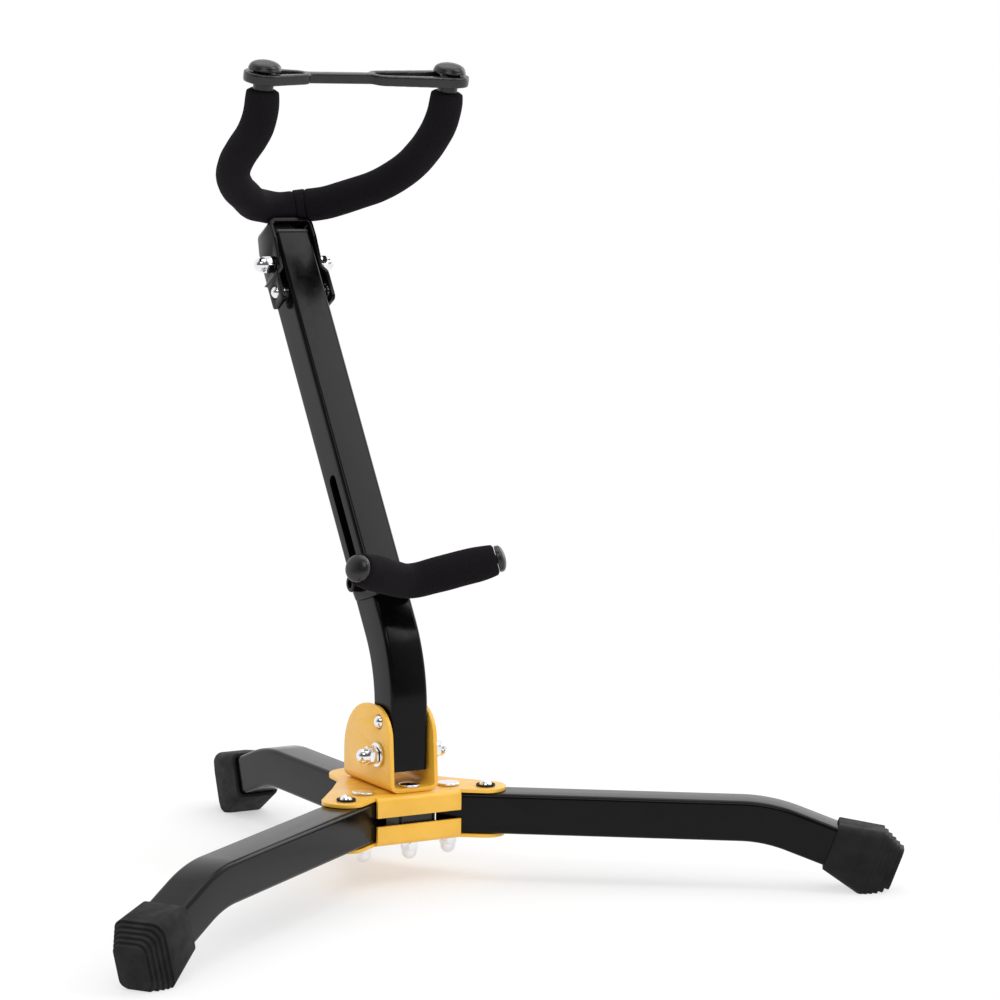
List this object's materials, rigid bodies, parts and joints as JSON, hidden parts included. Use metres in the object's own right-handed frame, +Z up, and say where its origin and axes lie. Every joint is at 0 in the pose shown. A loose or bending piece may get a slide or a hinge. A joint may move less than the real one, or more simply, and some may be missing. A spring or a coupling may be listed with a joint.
{
  "type": "alto saxophone stand",
  "caption": "Folding tripod floor stand that cradles an alto saxophone in a padded bell yoke and a padded lower fork, with a safety strap across the yoke.",
  "frame": {"origin": "on the floor at the bottom centre of the stand's box", "axes": "+Z up; the instrument sits on the -Y side; the rear leg runs along +Y; +X is the right of someone facing the instrument's side from -Y"},
  "size_m": [0.502, 0.4038, 0.4775],
  "materials": {
    "yellow_powder_coat": "orange-yellow powder coat, semi-gloss",
    "black_paint": "smooth gloss black paint",
    "black_rubber": "matt black moulded rubber",
    "black_foam": "matt black closed-cell foam with a fine skin",
    "black_plastic": "dark grey-black plastic, semi-gloss",
    "bright_chrome": "polished chrome plate",
    "spring_steel": "plain spring steel"
  },
  "bodies": {
    "base": {"hub_top_plate": "yellow_powder_coat", "hub_bottom_plate": "yellow_powder_coat", "clevis": "yellow_powder_coat", "hub_centre_bolt": "bright_chrome", "hub_rear_bolt": "bright_chrome", "hub_centre_nut": "bright_chrome", "hub_rear_nut": "bright_chrome", "leg_pivot_bolt_left": "bright_chrome", "leg_pivot_bolt_right": "bright_chrome", "leg_pivot_nut_left": "bright_chrome", "leg_pivot_nut_right": "bright_chrome", "leg_pivot_bush_left": "black_plastic", "leg_pivot_bush_right": "black_plastic", "leg_button_ring_left": "black_rubber", "leg_button_ring_right": "black_rubber", "leg_tube_rear": "black_paint", "leg_plug_rear": "black_plastic", "foot_rear": "black_rubber", "upright_pivot_bolt": "bright_chrome", "upright_pivot_bush": "black_plastic", "upright_pivot_nut_left": "bright_chrome", "upright_pivot_nut_right": "bright_chrome", "upright_pivot_washer_left": "bright_chrome", "upright_pivot_washer_right": "bright_chrome"},
    "front_leg_left": {"leg_tube_front_left": "black_paint", "foot_front_left": "black_rubber", "leg_lock_spring_left": "spring_steel"},
    "leg_button_left": {"leg_lock_button_left": "bright_chrome"},
    "front_leg_right": {"leg_tube_front_right": "black_paint", "foot_front_right": "black_rubber", "leg_lock_spring_right": "spring_steel"},
    "leg_button_right": {"leg_lock_button_right": "bright_chrome"},
    "upright": {"upright_tube": "black_paint", "upright_top_plug": "black_plastic", "upright_lock_spring": "spring_steel", "yoke_pivot_bolt": "bright_chrome", "yoke_pivot_nut_left": "bright_chrome", "yoke_pivot_nut_right": "bright_chrome", "yoke_lock_spring": "spring_steel"},
    "upright_button_left": {"upright_lock_button_left": "bright_chrome"},
    "yoke_stud_left": {"yoke_lock_stud_left": "bright_chrome"},
    "upright_button_right": {"upright_lock_button_right": "bright_chrome"},
    "yoke_stud_right": {"yoke_lock_stud_right": "bright_chrome"},
    "fork_slider": {"fork_slide_bolt": "black_paint", "fork_slide_nut": "black_paint", "fork_slide_bush": "black_plastic"},
    "fork": {"fork_bracket": "black_paint", "fork_rod": "black_paint", "fork_foam": "black_foam", "fork_cap_left": "black_plastic", "fork_cap_right": "black_plastic"},
    "yoke": {"yoke_bracket": "black_paint", "yoke_rod": "black_paint", "yoke_foam_left": "black_foam", "yoke_foam_collar": "black_foam", "yoke_foam_right": "black_foam", "yoke_post_left": "black_plastic", "yoke_post_right": "black_plastic"},
    "strap": {"safety_strap": "black_plastic"}
  },
  "joints": [
    {"name": "leg_swivel_left", "type": "hinge", "parent": "base", "child": "front_leg_left", "pos_m": [-0.0283, -0.04075, 0.0406], "axis": [0, 0, -1], "range_deg": [0, 122], "deforming": ["leg_lock_button_left", "leg_lock_spring_left"]},
    {"name": "leg_button_press_left", "type": "slide", "parent": "front_leg_left", "child": "leg_button_left", "axis": [0, 0, -1], "range_m": [0, 0.0062], "deforming": ["leg_lock_spring_left"]},
    {"name": "leg_swivel_right", "type": "hinge", "parent": "base", "child": "front_leg_right", "pos_m": [0.0283, -0.04075, 0.0406], "axis": [0, 0, 1], "range_deg": [0, 122], "deforming": ["leg_lock_button_right", "leg_lock_spring_right"]},
    {"name": "leg_button_press_right", "type": "slide", "parent": "front_leg_right", "child": "leg_button_right", "axis": [0, 0, -1], "range_m": [0, 0.0062], "deforming": ["leg_lock_spring_right"]},
    {"name": "upright_fold", "type": "hinge", "parent": "base", "child": "upright", "pos_m": [0, -0.03525, 0.076], "axis": [-1, 0, 0], "range_deg": [0, 62], "deforming": ["upright_lock_button_left", "upright_lock_button_right", "upright_lock_spring"]},
    {"name": "upright_button_press_left", "type": "slide", "parent": "upright", "child": "upright_button_left", "axis": [1, 0, 0], "range_m": [0, 0.0057], "deforming": ["upright_lock_spring"]},
    {"name": "upright_button_press_right", "type": "slide", "parent": "upright", "child": "upright_button_right", "axis": [-1, 0, 0], "range_m": [0, 0.0057], "deforming": ["upright_lock_spring"]},
    {"name": "yoke_stud_press_left", "type": "slide", "parent": "upright", "child": "yoke_stud_left", "axis": [1, 0, 0], "range_m": [0, 0.006], "stiffness_N_per_m": 300, "deforming": ["yoke_lock_spring"]},
    {"name": "yoke_stud_press_right", "type": "slide", "parent": "upright", "child": "yoke_stud_right", "axis": [-1, 0, 0], "range_m": [0, 0.006], "stiffness_N_per_m": 300, "deforming": ["yoke_lock_spring"]},
    {"name": "fork_slide", "type": "slide", "parent": "upright", "child": "fork_slider", "axis": [0, 0.5358, 0.8443], "range_m": [0, 0.066]},
    {"name": "fork_fold", "type": "hinge", "parent": "fork_slider", "child": "fork", "pos_m": [0, -0.00428, 0.17262], "axis": [-1, 0, 0], "range_deg": [0, 62]},
    {"name": "yoke_fold", "type": "hinge", "parent": "upright", "child": "yoke", "pos_m": [0, 0.10732, 0.35407], "axis": [1, 0, 0], "range_deg": [0, 95], "deforming": ["yoke_lock_stud_left", "yoke_lock_stud_right", "yoke_lock_spring"]},
    {"name": "strap_swing", "type": "hinge", "parent": "yoke", "child": "strap", "pos_m": [-0.0611, 0.02561, 0.46739], "axis": [0, 0.2181, -0.9759], "range_deg": [0, 110], "deforming": ["safety_strap"]}
  ],
  "couplings": [
    {"joint": "leg_button_press_left", "follows": "leg_swivel_left", "m_per_rad": 0.002865},
    {"joint": "leg_button_press_right", "follows": "leg_swivel_right", "m_per_rad": 0.002865},
    {"joint": "upright_button_press_left", "follows": "upright_fold", "m_per_rad": 0.005175},
    {"joint": "upright_button_press_right", "follows": "upright_fold", "m_per_rad": 0.005175}
  ]
}
